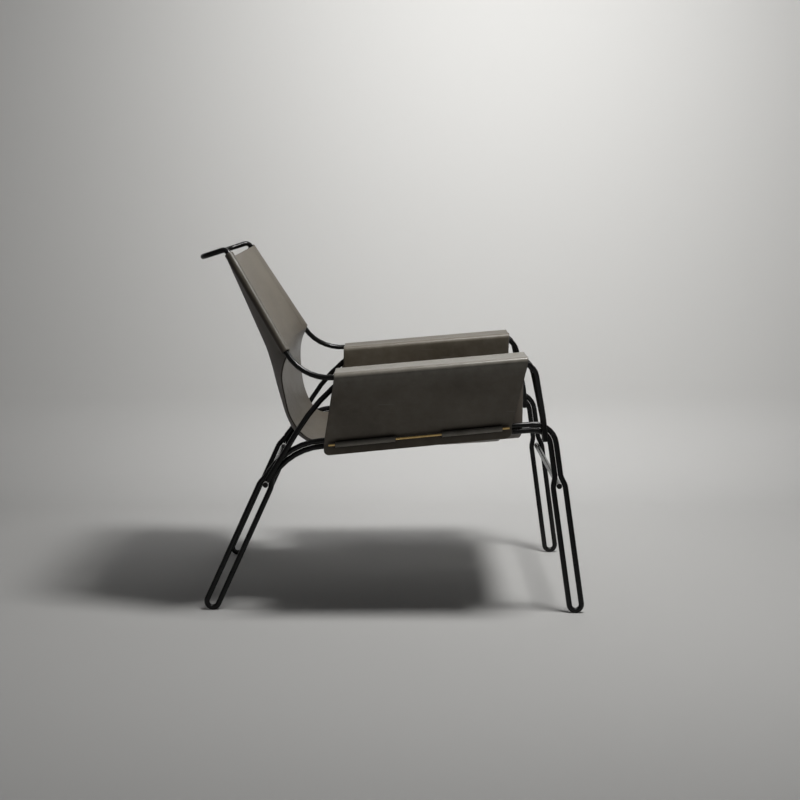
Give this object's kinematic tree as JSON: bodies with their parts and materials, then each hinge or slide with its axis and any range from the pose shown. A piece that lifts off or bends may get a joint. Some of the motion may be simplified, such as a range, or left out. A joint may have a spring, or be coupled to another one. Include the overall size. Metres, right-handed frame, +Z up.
{
  "type": "sling lounge chair",
  "caption": "Lounge chair of bent round steel rod with hairpin legs, a leather back-and-seat sling and leather arm wraps locked under the arms by slide-in pins.",
  "frame": {"origin": "on the floor, under the middle of the chair's length and width", "axes": "+X the way the sitter faces, +Y to the sitter's left, +Z up"},
  "size_m": [0.8272, 0.752, 0.7826],
  "materials": {
    "frame_steel": "satin black powder coat",
    "leather": "waxed saddle leather, worn taupe grey",
    "pin_brass": "drawn brass rod, lightly tarnished"
  },
  "bodies": {
    "chair": {"side_frame_right": "frame_steel", "side_frame_left": "frame_steel", "back_arm_rod": "frame_steel", "arm_support_right": "frame_steel", "arm_support_left": "frame_steel", "front_cross_bar": "frame_steel", "rear_cross_bar": "frame_steel", "back_seat_sling": "leather", "back_sleeve_right": "leather", "back_sleeve_left": "leather", "arm_wrap_right": "leather", "arm_wrap_left": "leather", "front_strap": "leather", "rear_strap": "leather"},
    "right_pin": {"lock_pin_right": "pin_brass"},
    "left_pin": {"lock_pin_left": "pin_brass"}
  },
  "joints": [
    {"name": "right_pin_slide", "type": "slide", "parent": "chair", "child": "right_pin", "axis": [-0.9949, 0.0152, -0.0994], "range_m": [0, 0.15]},
    {"name": "left_pin_slide", "type": "slide", "parent": "chair", "child": "left_pin", "axis": [-0.9949, -0.0152, -0.0994], "range_m": [0, 0.15]}
  ]
}
